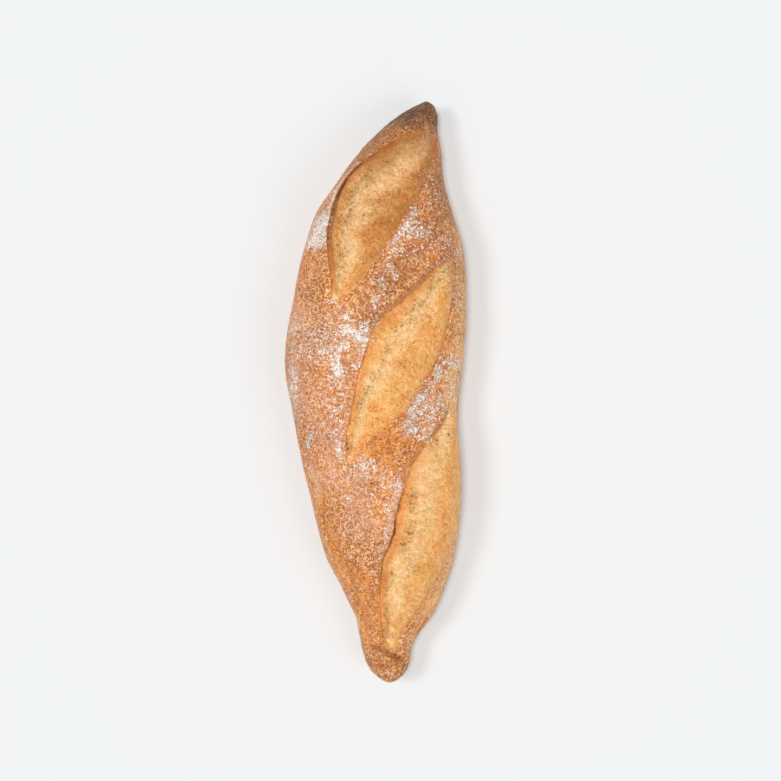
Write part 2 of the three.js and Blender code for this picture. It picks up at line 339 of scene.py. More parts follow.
class Edge:
    """One edge of a slash, or the line of a fold, laid on the unslashed loaf."""

    def __init__(self, points):
        self.y, self.degrees = spline(points, np.linspace(0, len(points) - 1, EDGE_STEPS)).T
        shares = np.linspace(0, 1, SHARE_STEPS)
        along = ribs_at(shares)[:, ALONG]
        ribs = ribs_at(np.interp(-self.y, -along, shares))
        self.line = section(ribs, self.degrees)
        self.forwards = unit(np.gradient(self.line, axis=0))
        rounds = section(ribs, self.degrees + 1) - section(ribs, self.degrees - 1)
        outwards = unit(np.cross((0, -1, 0), rounds))
        self.rightwards = unit(np.cross(outwards, self.forwards))

    def degrees_at(self, y):
        """Degrees round the crown at a place along the loaf."""
        return np.interp(-y, -self.y, self.degrees)

    def beside(self, points):
        """How far right of the edge points are, the share along it, how far past its ends, and the nearest
        step."""
        nearest = np.empty(len(points), int)
        for start in range(0, len(points), BATCH):
            gap = points[start:start + BATCH, None, :] - self.line[None]
            nearest[start:start + BATCH] = (gap**2).sum(-1).argmin(1)
        gap = points - self.line[nearest]
        ahead = (gap * self.forwards[nearest]).sum(-1)
        right = (gap * self.rightwards[nearest]).sum(-1)
        length = np.linalg.norm(gap, axis=-1)
        distance = np.sign(right) * np.sqrt(np.maximum(length**2 - ahead**2, 0))
        last = EDGE_STEPS - 1
        past = ((nearest == 0) & (ahead < 0)) | ((nearest == last) & (ahead > 0))
        share = (nearest + np.clip(ahead / 0.5, -0.5, 0.5)) / last
        return distance, np.clip(share, 0, 1), np.where(past, length, 0), nearest


def ring_degrees(y, half, slashes):
    """Degrees of a ring's columns, crowded above the sole and most of all beside the ears and hems."""
    fine = np.linspace(-180, 180, 360 * STEPS_PER_DEGREE + 1)
    weight = SOLE_WEIGHT + (1 - SOLE_WEIGHT) * smooth(-np.abs(fine), -135, -85)
    for slash in slashes:
        ear, hem = slash["ear"], slash["hem"]
        if ear.y[-1] < y < ear.y[0]:
            here = (ear.y[0] - y) / (ear.y[0] - ear.y[-1])
            fade = float(smooth(here, 0, 0.08) * smooth(1 - here, 0, 0.08))
            for edge, pull in ((ear, EAR_PULL), (hem, HEM_PULL)):
                gap = (fine - edge.degrees_at(y)) * math.radians(1) * half
                weight = weight + fade * pull * hump(gap, 0.6, 3)
    total = np.concatenate(((0,), np.cumsum((weight[1:] + weight[:-1]) / 2)))
    return np.interp(np.arange(COLUMNS + 1) / COLUMNS, total / total[-1], fine)


def outwards_from(grid):
    """Directions straight out of a grid of rings of points."""
    wrapped = np.concatenate((grid[:, -2:-1], grid, grid[:, 1:2]), 1)
    around = wrapped[:, 2:] - wrapped[:, :-2]
    along = np.gradient(grid, axis=0)
    outwards = unit(np.cross(around, -along))
    outwards[0] = (0, 1, 0)
    outwards[-1] = (0, -1, 0)
    on_crown = outwards[len(grid) // 2, COLUMNS // 2]
    return -outwards if on_crown[2] < 0 else outwards


def listed(slash, name, shares):
    """The value of one of a slash's lists at shares of the way along it."""
    return np.interp(shares, *np.array(slash[name], float).T)


def strokes_at(points, strokes, waver):
    """How strongly the nearest of some strokes touches each point, from 0 to 1."""
    spots = points[:, :2] + waver * np.stack((lumps(points, 5, 2.2, 3), lumps(points, 5, 8.8, 3)), -1)
    amount = np.zeros(len(points))
    for x1, y1, x2, y2, half, strength in strokes:
        start, reach = np.array((x1, y1)), np.array((x2 - x1, y2 - y1))
        t = np.clip(((spots - start) @ reach) / (reach @ reach), 0, 1)
        gap = np.linalg.norm(spots - start - t[:, None] * reach, axis=1)
        amount = np.maximum(amount, strength * (1 - smooth(gap, 0.2 * half, 1.9 * half)))
    return amount


class Loaf:
    """The loaf as a grid of points, from tip to tip and once round, with what its finish needs to know."""

    def __init__(self):
        slashes = [{**slash, "ear": Edge(slash["ear"]), "hem": Edge(slash["hem"])} for slash in SLASHES]
        fine = np.linspace(0, 1, OUTLINE_STEPS)
        outline = ribs_at(fine)[:, [ALONG, RIGHT, LEFT]]
        travel = np.concatenate(((0,), np.cumsum(np.linalg.norm(np.diff(outline, axis=0), axis=1))))
        ribs = ribs_at(np.interp(np.linspace(0, travel[-1], RINGS + 1), travel, fine))
        half = (ribs[:, RIGHT] - ribs[:, LEFT]) / 2
        degrees = np.array([ring_degrees(y, w, slashes) for y, w in zip(ribs[:, ALONG], half)])
        base = section(ribs[:, None, :], degrees)
        self.unroll(base, degrees)
        self.base = base.reshape(-1, 3)
        self.outwards = outwards_from(base).reshape(-1, 3)
        self.degrees = degrees.reshape(-1)
        self.top = smooth(-np.abs(self.degrees), -150, -110)
        self.moved = np.zeros_like(self.base)
        self.fields = {name: np.zeros(len(self.base)) for name in SLASH_FIELDS}
        self.fields["inside"] += FAR_OUTSIDE
        for slash in slashes:
            self.open(slash)
        self.fold_crust()
        self.roughen()

    def unroll(self, base, degrees):
        """Arc length round each ring, from the crown, for the unrolled crust."""
        steps = np.linalg.norm(np.diff(base, axis=1), axis=2)
        around = np.concatenate((np.zeros((len(base), 1)), np.cumsum(steps, 1)), 1)
        crown = np.array([np.interp(0, d, s) for d, s in zip(degrees, around)])
        self.around = around - crown[:, None]

    def push(self, near, amount, direction):
        """Moves points by an amount in a direction."""
        self.moved[near] += amount[:, None] * direction

    def most(self, name, near, values):
        """Raises a field to some values where it is lower."""
        self.fields[name][near] = np.maximum(self.fields[name][near], values)

    def open(self, slash):
        """Opens a slash: lifts its ear, cuts under it, and swells the crumb between ear and hem."""
        at = self.beside(slash)
        self.shape_ear(slash, at)
        self.mark_crumb(slash, at)
        self.mark_edges(slash, at)

    def beside(self, slash):
        """The points near a slash, and where they lie in it."""
        ear, hem = slash["ear"], slash["hem"]
        at = SimpleNamespace()
        y = self.base[:, 1]
        along = (y < ear.y[0] + SLASH_REACH) & (y > ear.y[-1] - SLASH_REACH)
        at.near = np.nonzero(along & (np.abs(self.degrees) < UPPER_SIDE))[0]
        at.here = self.base[at.near]
        at.ear_gap, at.ear_share, ear_past, at.ear_step = ear.beside(at.here)
        at.hem_gap, at.hem_share, hem_past, _ = hem.beside(at.here)
        at.share = (at.ear_share + at.hem_share) / 2
        at.width = np.maximum(at.ear_gap - at.hem_gap, 0.5)
        at.across = np.clip(at.ear_gap / at.width, 0, 1)
        at.ear_open = smooth(at.ear_share, 0, 0.06) * smooth(1 - at.ear_share, 0, 0.04) * (ear_past == 0)
        at.hem_open = smooth(at.hem_share, 0, 0.06) * smooth(1 - at.hem_share, 0, 0.04) * (hem_past == 0)
        at.wobble = lumps(at.here, 8, 3.1, 3)
        at.height = listed(slash, "lip", at.ear_share) * (1 + 0.5 * at.wobble)
        at.ear_soft = listed(slash, "soft", at.ear_share)
        at.hem_soft = listed(slash, "hem_soft", at.hem_share)
        at.ear_firm = 1 - SOFTENING * at.ear_soft
        at.hem_firm = 1 - SOFTENING * at.hem_soft
        at.crease = (at.across - listed(slash, "crease", at.share)) * at.width + 1.2 * at.wobble
        past = np.maximum(ear_past, hem_past)
        at.depth = np.where(past > 0, -np.maximum(past, 0.01), np.minimum(at.ear_gap, -at.hem_gap))
        return at

    def shape_ear(self, slash, at):
        """Stands the ear up and leans it out over the cut, and swells the crumb from under it to the hem.
        Rise is straight out of the loaf, and lean is to the right of the ear."""
        ear_gap, hem_gap, height = at.ear_gap, at.hem_gap, at.height
        stand_up = 0.3 * at.ear_firm + 0.7 * height
        rolled = 2.3 * listed(slash, "roll", at.ear_share) * hump(ear_gap, -2, 1.7)
        ear_rise = stand_up * smooth(ear_gap, -EAR_FALLOFF, -0.8) + rolled
        ear_lean = EAR_LEAN * height * smooth(ear_gap, -4, 0)

        under = smooth(ear_gap, 0, 1.1)
        cut = (0.6 * at.ear_firm + 0.8 * height) * under * (1 - smooth(ear_gap, 1.2, 6.5))
        mound = slash["rise"] * np.sin(math.pi * at.across**0.8) ** 0.85 * np.minimum(at.width / 26, 1)
        mound = mound * smooth(ear_gap, 0.4, 6) * (0.62 + 0.38 * smooth(at.crease, -1, 6))
        tear = 0.6 * hump(at.crease, 0, 2.2) * (1 + 0.9 * at.wobble)
        sink = HEM_DEPTH * at.hem_firm * smooth(hem_gap, -3.5, -0.2)
        crumb_rise = stand_up * (1 - under) - cut + mound - tear - sink
        crumb_lean = height * (EAR_LEAN * (1 - under) - 0.8 * under * (1 - smooth(ear_gap, 1.2, 4.5)))
        hem_rise = at.hem_firm * (0.4 * hump(hem_gap, 1.6, 1) - HEM_DEPTH * (1 - smooth(hem_gap, 0, 1.2)))

        before = ear_gap <= 0
        beyond = (hem_gap >= 0) & ~before
        rise = np.where(before, ear_rise, np.where(beyond, hem_rise, crumb_rise))
        lean = np.where(before, ear_lean, np.where(beyond, 0, crumb_lean))
        both_open = np.minimum(at.ear_open, at.hem_open)
        fade = np.where(beyond, at.hem_open, np.where(before, at.ear_open, both_open)) * self.top[at.near]
        self.push(at.near, rise * fade, self.outwards[at.near])
        self.push(at.near, lean * fade, slash["ear"].rightwards[at.ear_step])

    def mark_crumb(self, slash, at):
        """Notes how the crumb runs in the slash that a point lies deepest in."""
        unrolled = self.around.reshape(-1)[at.near]
        fibres = np.stack((unrolled, at.here[:, 1]), -1) @ np.array(slash["grain"])
        palest = listed(slash, "cream", at.share)
        marks = {
            "inside": at.depth,
            "across": at.across,
            "crease": at.crease,
            "soft": np.where(at.ear_gap < -at.hem_gap, at.ear_soft, at.hem_soft),
            "cream": hump(at.across + 0.03 * at.wobble, palest, slash["cream_width"]),
            "along": fibres,
        }
        deeper = at.depth > self.fields["inside"][at.near]
        for name, values in marks.items():
            self.fields[name][at.near[deeper]] = values[deeper]

    def mark_edges(self, slash, at):
        """Notes the pale lip, the painted shadow in the cut, the painted shade beside the ear, and the dark
        line along the hem, which is browned crust edge and painted shadow.
        """
        pale = listed(slash, "pale", at.ear_share)
        dark = listed(slash, "dark", at.ear_share)
        right = at.ear_gap > 0
        self.most("lip", at.near, pale * at.ear_open * hump(at.ear_gap, -0.7, 1.2))
        # Painted shadow in the cut under the ear, deeper where the lip stands high.
        depth = np.minimum(0.6 + 0.8 * at.height, 2) * (1 - 0.8 * at.ear_soft) * (1 + 0.5 * at.wobble)
        shade = depth * dark * right * hump(at.ear_gap, 0.4 + slash["tuck"] * at.height, 0.85)
        self.most("shade", at.near, shade * at.ear_open)
        # Painted shade that browns the crumb beside the ear.
        ear_shadow = slash["ear_shadow"] * np.minimum(at.height, 1.2) * dark * right * hump(at.ear_gap, 2.4, 4)
        self.most("fold", at.near, ear_shadow * at.ear_open)
        # Painted shade in the groove where a soft ear runs into the crumb.
        self.most("fold", at.near, 0.8 * at.ear_open * at.ear_soft * hump(at.ear_gap, -0.6, 2.6))
        # The dark line along the hem: browned crust edge and painted shadow.
        burnt_and_shaded = listed(slash, "hem_dark", at.hem_share)
        self.most("hem", at.near, at.hem_open * burnt_and_shaded * hump(at.hem_gap, 0.3, 0.7))

    def fold_crust(self):
        """Presses in the folds and the pits, and notes painted shade in the folds' furrows and in the pits.
        """
        for fold in FOLDS:
            line = Edge(fold["line"])
            middle = line.line.mean(0)
            reach = np.abs(line.line - middle).max() + FOLD_REACH
            close = np.linalg.norm(self.base - middle, axis=1) < reach
            near = np.nonzero(close & (np.abs(self.degrees) < UPPER_SIDE))[0]
            gap, share, past, _ = line.beside(self.base[near])
            gap = gap + 0.8 * lumps(self.base[near], 7, 5.5, 2)
            fade = smooth(share, 0, 0.15) * smooth(1 - share, 0, 0.15) * (past == 0)
            furrow = hump(gap, 0, fold["width"])
            ridge = hump(gap, -1.9 * fold["width"], 1.3 * fold["width"])
            self.push(near, fade * (fold["ridge"] * ridge - fold["furrow"] * furrow), self.outwards[near])
            # Painted shade in the fold's furrow.
            self.most("fold", near, 0.7 * fade * fold["furrow"] * furrow)
        low = np.abs(self.degrees) > PIT_SIDE
        for x, y, radius in PITS:
            gap = np.where(low, np.inf, np.hypot(self.base[:, 0] - x, self.base[:, 1] - y))
            pit = hump(gap, 0, radius)
            self.moved -= (0.9 * radius * pit)[:, None] * self.outwards
            # Painted shade in the pit.
            self.fields["shade"] = np.maximum(self.fields["shade"], 2.2 * hump(gap, 0, 0.8 * radius))

    def roughen(self):
        """Lumps that the hands and the oven left: broad ones, cobbled crust, and wrinkled crumb."""
        inside = self.fields["inside"]
        crust, crumb = smooth(-inside, -0.5, 1.5), smooth(inside, 0.5, 4)
        broad = lumps(self.base, (30, 42, 30), 7.7, 2)
        cobble = lumps(self.base, 3, 1.3, 3)
        cobbled = smooth(lumps(self.base, 24, 9.4, 2) + 0.5 * hump(self.base[:, 1], -118, 22), -0.2, 0.45)
        wrinkle = lumps(self.base, 5, 4.2, 3)
        rough = crust * (0.13 + 0.3 * cobbled) * cobble + crumb * 0.22 * wrinkle
        relief = self.top * (0.8 * broad + rough)
        self.moved += relief[:, None] * self.outwards
        self.fields["cobbled"] = cobbled

    def points(self):
        """The finished grid, with nothing below the floor."""
        points = self.base + self.moved
        points[:, 2] = np.maximum(points[:, 2], 0)
        return points


class Socket:
    """A value in a finish. Arithmetic on it adds Math nodes."""

    def __init__(self, finish, socket):
        self.finish = finish
        self.socket = socket

    def math(self, operation, *values):
        inputs = dict(enumerate((self, *values)))
        return self.finish.node("ShaderNodeMath", {"operation": operation}, inputs)[0]

    def __add__(self, other):
        return self.math("ADD", other)

    def __sub__(self, other):
        return self.math("SUBTRACT", other)

    def __mul__(self, other):
        return self.math("MULTIPLY", other)

    def __truediv__(self, other):
        return self.math("DIVIDE", other)

    def __neg__(self):
        return self.math("MULTIPLY", -1)

    def __rsub__(self, other):
        return -self + other

    __radd__ = __add__
    __rmul__ = __mul__

    def step(self, low, high):
        """A soft step from 0 to 1 as the value goes from low to high."""
        inputs = {"Value": self, "From Min": low, "From Max": high}
        return self.finish.node("ShaderNodeMapRange", {"interpolation_type": "SMOOTHSTEP"}, inputs)[0]


class Finish:
    """A material and its nodes."""

    def __init__(self, name):
        self.material = bpy.data.materials.new(name)
        self.material.use_nodes = True
        self.nodes = self.material.node_tree.nodes
        self.links = self.material.node_tree.links
        self.nodes.clear()

    def node(self, kind, settings, inputs):
        """Adds a node, its settings first and then its inputs. Returns its outputs."""
        made = self.nodes.new(kind)
        for name, value in settings.items():
            setattr(made, name, value)
        for name, value in inputs.items():
            if isinstance(value, Socket):
                self.links.new(value.socket, made.inputs[name])
            else:
                made.inputs[name].default_value = value
        return [Socket(self, out) for out in made.outputs if out.enabled]

    def place(self):
        """The place on the object, in metres."""
        return self.node("ShaderNodeTexCoord", {}, {})[3]

    def attribute(self, name):
        """A number noted on the mesh."""
        return self.node("ShaderNodeAttribute", {"attribute_name": name}, {})[2]

    def noise(self, place, scale, detail=2, roughness=0.5, distortion=0):
        inputs = {"Vector": place, "Scale": scale, "Detail": detail, "Roughness": roughness,
                  "Distortion": distortion}
        return self.node("ShaderNodeTexNoise", {}, inputs)[0]

    def wave(self, *kind):
        """The same noise about 0, mostly between the ends of a ramp."""
        return (self.noise(*kind) - 0.5) * 8

    def cells(self, place, scale):
        """How far a place is from the middle of the nearest cell."""
        return self.node("ShaderNodeTexVoronoi", {}, {"Vector": place, "Scale": scale})[0]

    def stretched(self, place, scale):
        """The place scaled along its axes. What is laid on it is drawn out along the smallest."""
        return self.node("ShaderNodeMapping", {}, {"Vector": place, "Scale": scale})[0]

    def mix(self, amount, first, second):
        """The first colour where the amount is 0, and the second where it is 1."""
        return self.node("ShaderNodeMix", {"data_type": "RGBA"}, {0: amount, 6: first, 7: second})[0]

    def ramp(self, value, screen_colours):
        """A colour that runs from dark at -1.7, over middle at about 0, to light at 1.7."""
        dark, middle, light = (linear(*colour) for colour in screen_colours)
        lower = self.mix(value.step(-1.7, 0.2), dark, middle)
        return self.mix(value.step(-0.2, 1.7), lower, light)

    def bump(self, height, depth, onto=None):
        """A normal bent by a height of so many metres for each 1, on top of another."""
        inputs = {"Height": height, "Distance": depth, "Strength": 1}
        if onto:
            inputs["Normal"] = onto
        return self.node("ShaderNodeBump", {}, inputs)[0]

    def shade(self, colour, roughness, normal, specular, sheen):
        """Ends the finish with its surface, and returns the material."""
        inputs = {"Base Color": colour, "Roughness": roughness, "Specular IOR Level": specular,
                  "Sheen Weight": sheen, "Sheen Roughness": SHEEN_ROUGHNESS, "Sheen Tint": SHEEN_TINT}
        if normal:
            inputs["Normal"] = normal
        surface = self.node("ShaderNodeBsdfPrincipled", {}, inputs)[0]
        self.node("ShaderNodeOutputMaterial", {}, {"Surface": surface})
        return self.material


def linear(red, green, blue):
    """A screen colour of 0 to 255 as a light-linear colour."""
    values = [v / 255 for v in (red, green, blue)]
    return tuple(v / 12.92 if v < 0.04045 else ((v + 0.055) / 1.055) ** 2.4 for v in values) + (1,)


# The sheen of flour dust on the crust.
SHEEN_ROUGHNESS = 0.4
SHEEN_TINT = (1, 0.84, 0.68, 1)

# Ramps of crust and crumb, each from dark over middle to light, as screen colours of 0 to 255.
PLAIN_CRUST = (158, 88, 38), (222, 144, 84), (255, 216, 170)
SMOOTH_CRUST = (184, 94, 30), (232, 146, 70), (252, 190, 116)
HAZY_CRUST = (178, 116, 80), (219, 158, 121), (252, 218, 194)
FLANK_CRUST = (176, 110, 56), (228, 158, 98), (252, 204, 150)
# Lighter crust along the right flank, partly painted light.
PALE_AND_LIT_CRUST = (218, 148, 90), (255, 200, 130), (255, 236, 202)
SOLE_CRUST = (170, 110, 64), (206, 152, 100), (238, 204, 164)
BAKED_CRUMB = (150, 84, 28), (196, 122, 56), (234, 172, 100)
BAKED_CREAM = (196, 138, 78), (230, 180, 122), (250, 214, 168)
GOLDEN_CRUMB = (200, 122, 52), (240, 168, 94), (255, 208, 140)
GOLDEN_CREAM = (208, 152, 86), (236, 188, 128), (252, 220, 172)

# Colours that crust and crumb turn towards in places.
BROWN_CRUST = linear(144, 84, 42)
ORANGE_CRUST = linear(232, 154, 70)
ROSY_CRUST = linear(212, 142, 126)
BROWN_CRUMB = linear(170, 106, 48)
BROWN_HEM = linear(178, 110, 52)
ORANGE_CRUMB = linear(240, 150, 74)
YELLOW_CRUMB = linear(238, 190, 104)
# Lighter crumb along the right flank, partly painted light.
PALE_AND_LIT_CRUMB = linear(255, 204, 144)
GOLDEN_FOOT = linear(224, 140, 74)
BAKED_FOOT = linear(186, 116, 54)
OPEN_CRUMB = linear(180, 145, 84)
PORE = linear(142, 107, 59)
ROSY_CRUMB = linear(230, 144, 90)
STRAW_CRUMB = linear(230, 190, 100)
# Brown for painted shade in folds and beside ears, and for the browned and shaded line along the hems.
SHADE_AND_BURNT_BROWN = linear(158, 92, 44)
# Painted shadow in the cuts under the ears and in the pits.
CUT_SHADOW = linear(106, 60, 26)
SCORCHED = linear(94, 62, 42)
PALE_LIP = linear(226, 198, 178)
POWDER = linear(204, 178, 160)
FLOUR = linear(250, 240, 230)


def crust_spot(f):
    """What is known at each spot: the fields, noise from broad to fine, and where crumb, fibres, pores and
    grains of flour are."""
    at = SimpleNamespace(**{name: f.attribute(name) for name in FINISH_FIELDS})
    place = f.place()
    at.broad = f.wave(place, 30)
    at.warm = f.wave(place, 75, 3, 0.6, 0.5)
    at.patchy = f.wave(place, 110, 3, 0.6)
    at.mottle = f.wave(place, 260, 2, 0.6, 0.6)
    at.fray = f.wave(place, 420, 2, 0.6)
    at.speck = f.wave(place, 640, 1.5, 0.6, 0.8)
    at.grain = f.wave(place, 1150, 2, 0.6)
    at.fine = at.speck * 0.75 + at.grain * 0.85
    at.hue = f.wave(place, 380, 2, 0.7, 0.4) * 0.7 + f.wave(place, 170, 2, 0.6, 0.4) * 0.6
    at.pebble = (0.44 - f.cells(place, 620)) * 2.6

    frayed = at.inside + at.fray * 0.4 * (at.soft + 0.35)
    at.crumb = (frayed / (at.soft * 3.4 + 0.4)).step(-1, 1)
    weave = f.node("ShaderNodeCombineXYZ", {}, {0: at.along, 1: at.inside, 2: at.across})[0]
    at.fibres = f.wave(f.stretched(weave, (0.6, 0.3, 1)), 1, 3, 0.6, 1.2)
    near_crease = 1 - ((at.crease + 0.5).math("ABSOLUTE") + at.fray).step(0.3, 3.5)
    at.torn = near_crease * (at.patchy + at.fray * 0.5).step(-0.5, 0.5)
    often = at.torn * 1.1 + f.wave(place, 240).step(0.8, 1.5) * 0.5
    at.pore = (1 - f.cells(place, 520).step(0.15, 0.5)) * often * at.crumb

    streaks = f.wave(f.stretched(place, (0.45, 1, 0.45)), 560, 2, 0.6, 1)
    dust = at.flour * (0.9 - at.crumb * 0.45) + at.speck * 0.33 + at.grain * 0.36 + streaks * 0.26
    at.white = dust.step(0.42, 1.1) * at.flour.step(0.03, 0.2)
    return at


def crust_colour(f, at):
    """Crust: mottled, with pale blisters and dark gaps, smoother and more orange in patches."""
    mottle, patchy, hue = at.mottle, at.patchy, at.hue
    calm = 1 - at.flank * 0.45
    lively = 0.84 + at.cobbled * 0.34 + at.brown * 0.45
    tone = (at.fine * 0.95 + at.pebble * 0.6) * calm * lively + mottle * 0.35 + at.broad * 0.15
    smoother = (at.orange + patchy * 0.3 + at.broad * 0.15).step(0.15, 1.1) * 0.9
    colour = f.mix(smoother, f.ramp(tone, PLAIN_CRUST), f.ramp(tone * 0.75, SMOOTH_CRUST))
    colour = f.mix((at.haze + patchy * 0.2).step(0.1, 1.2), colour, f.ramp(tone * 0.9, HAZY_CRUST))
    colour = f.mix((at.brown + patchy * 0.2).step(0, 1.2) * 0.58, colour, BROWN_CRUST)
    colour = f.mix(hue.step(0, 1.5) * 0.4, colour, ORANGE_CRUST)
    colour = f.mix((-hue).step(0, 1.5) * 0.32, colour, ROSY_CRUST)
    side = (at.flank + patchy * 0.15).step(0.1, 1) * 0.6 * (1 - at.tip)
    colour = f.mix(side, colour, f.ramp(tone, FLANK_CRUST))
    # Lighter crust along the right flank: partly its own colour, partly painted light.
    paler_and_lit = (at.pale * 0.9 + patchy * 0.15).step(0.1, 1.2) * 0.8 * (1 - at.tip)
    return f.mix(paler_and_lit, colour, f.ramp(tone, PALE_AND_LIT_CRUST))


def crumb_colour(f, at):
    """Crumb: golden, baked browner towards the slim end, palest along its cream band and browner towards
    ear and hem, with a fine short grain and darker pores."""
    mottle, patchy, fray, baked = at.mottle, at.patchy, at.fray, at.baked
    tone = patchy * -0.33 + mottle * -0.31 + at.fine * 0.6 + at.fibres * 0.55
    cream = (at.cream + fray * 0.08 + mottle * 0.08 - patchy * 0.1).step(0.05, 0.95)
    beside = f.mix(baked, f.ramp(tone, GOLDEN_CRUMB), f.ramp(tone, BAKED_CRUMB))
    colour = f.mix(cream, beside, f.mix(baked, f.ramp(tone, GOLDEN_CREAM), f.ramp(tone, BAKED_CREAM)))
    colour = f.mix((at.brown + patchy * 0.2).step(0.1, 1.1) * 0.55, colour, BROWN_CRUMB)
    colour = f.mix((at.across + mottle * 0.03).step(0.6, 0.95) * baked * 0.5, colour, BROWN_HEM)

    lively = 1 - baked * 0.5
    colour = f.mix(at.warm.step(0, 1.3) * lively * 0.3, colour, ORANGE_CRUMB)
    colour = f.mix((-at.warm).step(0, 1.3) * lively * 0.3, colour, YELLOW_CRUMB)
    # Lighter crumb along the right flank: partly its own colour, partly painted light.
    colour = f.mix((at.pale + patchy * 0.15).step(0.3, 1.2) * 0.3, colour, PALE_AND_LIT_CRUMB)
    foot = 1 - (at.across + mottle * 0.035 - patchy * 0.035).step(0.06, 0.26)
    colour = f.mix(foot * 0.42, colour, f.mix(baked, GOLDEN_FOOT, BAKED_FOOT))
    colour = f.mix(at.torn * 0.4, colour, OPEN_CRUMB)
    colour = f.mix(at.pore * 0.65, colour, PORE)
    colour = f.mix(at.hue.step(0.1, 1.5) * lively * 0.42, colour, ROSY_CRUMB)
    return f.mix((-at.hue).step(0.1, 1.5) * lively * 0.42, colour, STRAW_CRUMB)


def marked_colour(f, at, colour):
    """The colour with painted shade in folds, beside ears and in cuts, a dark line along hems that is
    browned crust edge and painted shadow, a scorched slim end, and a plain pale brown sole.
    """
    # Painted shade in the folds and beside the ears.
    colour = f.mix((at.fold + at.mottle * 0.1).step(0.15, 0.8) * 0.6, colour, SHADE_AND_BURNT_BROWN)
    # The dark line along the hems: browned crust edge and painted shadow.
    colour = f.mix((at.hem + at.speck * 0.2).step(0.25, 1) * 0.7, colour, SHADE_AND_BURNT_BROWN)
    # Painted shadow in the cuts under the ears and in the pits.
    colour = f.mix((at.shade * 0.5 + at.mottle * 0.08).step(0.2, 1) * 0.85, colour, CUT_SHADOW)
    scorched = (at.tip + at.patchy * 0.1 - at.fine * 0.1).step(0.1, 1.05) * 0.9
    colour = f.mix(scorched, colour, SCORCHED)
    sole = 1 - (at.height + at.patchy * 0.5).step(1, 8)
    tone = at.fine * 0.6 + at.mottle * 0.35 + at.patchy * 0.3
    return f.mix(sole, colour, f.ramp(tone, SOLE_CRUST))


def floured_colour(f, at, colour):
    """The colour with pale ear lips, a thin powder on the crust, and grains of flour."""
    colour = f.mix((at.lip + at.fine * 0.15).step(0.2, 1) * 0.8, colour, PALE_LIP)
    powder = (at.flour + at.mottle * 0.12).step(0.25, 1.1) * (1 - at.crumb)
    colour = f.mix(powder * 0.65, colour, POWDER)
    return f.mix(at.white * 0.92, colour, FLOUR)


def crust_finish():
    """The loaf's finish."""
    f = Finish("baked_crust")
    at = crust_spot(f)
    colour = f.mix(at.crumb, crust_colour(f, at), crumb_colour(f, at))
    colour = floured_colour(f, at, marked_colour(f, at, colour))
    bumps = f.bump(at.fine * (1 - at.crumb * 0.5) * (at.cobbled * 0.6 + 0.7), 0.00012)
    bumps = f.bump((at.mottle + at.fibres * 0.5) * at.crumb, 0.00012, bumps)
    bumps = f.bump(1 - at.pore, 0.0006, bumps)
    bumps = f.bump(at.white, 0.00005, bumps)
    roughness = 0.62 + at.white * 0.3 + at.fray * 0.02 - at.crumb * 0.05
    return f.shade(colour, roughness, bumps, 0.2, 0.13)


def floor_finish(colour):
    """A matt floor whose colour hardly varies."""
    f = Finish("studio_floor")
    darker = tuple(0.9 * c for c in colour)
    tint = f.mix(f.noise(f.place(), 3) * 0.02, (*colour, 1), (*darker, 1))
    return f.shade(tint, 0.9, None, 0.1, 0)


def round_grid(mesh):
    """The ring and the column that each point of a sphere with its poles on Z belongs to."""
    sphere = np.empty(len(mesh.vertices) * 3)
    mesh.vertices.foreach_get("co", sphere)
    sphere = sphere.reshape(-1, 3)
    ring = np.rint(np.arccos(np.clip(sphere[:, 2], -1, 1)) / math.pi * RINGS).astype(int)
    turn = np.arctan2(sphere[:, 1], sphere[:, 0]) / math.tau
    column = np.rint((turn + 0.5) * COLUMNS).astype(int) % COLUMNS
    return ring, column


def sized(points, width, length):
    """Points in metres, stretched to a width and a length and laid over the middle of the loaf's box."""
    low, high = points.min(0), points.max(0)
    middle = (low + high) / 2
    box_middle = (np.array(LOAF_BOX[0]) + np.array(LOAF_BOX[1])) / 2
    size = np.array((width, length, high[2] * MM))
    placed = (points - (middle[0], middle[1], 0)) * MM * (size / ((high - low) * MM))
    placed[:, :2] += box_middle[:2]
    return placed


def note_fields(mesh, baked, place, points):
    """Notes on the mesh what its finish needs to know at each point."""
    values = {name: field[place] for name, field in baked.fields.items()}
    values["flour"] = strokes_at(points, FLOUR_STROKES, 2.2) * smooth(points[:, 2], 11, 31)
    seen_side = smooth(points[:, 2], 6, 16)
    patches = {"haze": HAZE_STROKES, "orange": ORANGE_STROKES, "brown": BROWN_STROKES, "pale": PALE_AND_LIT_STROKES}
    for name, strokes in patches.items():
        values[name] = strokes_at(points, strokes, 4) * seen_side
    values["height"] = points[:, 2]
    values["flank"] = smooth(np.abs(baked.degrees[place]), 62, 110)
    values["tip"] = smooth(points[:, 1], 132, 163)
    values["baked"] = smooth(points[:, 1], 42, 102)
    for name in FINISH_FIELDS:
        noted = mesh.attributes.new(name, "FLOAT", "POINT")
        noted.data.foreach_set("value", values[name].astype(np.float32))


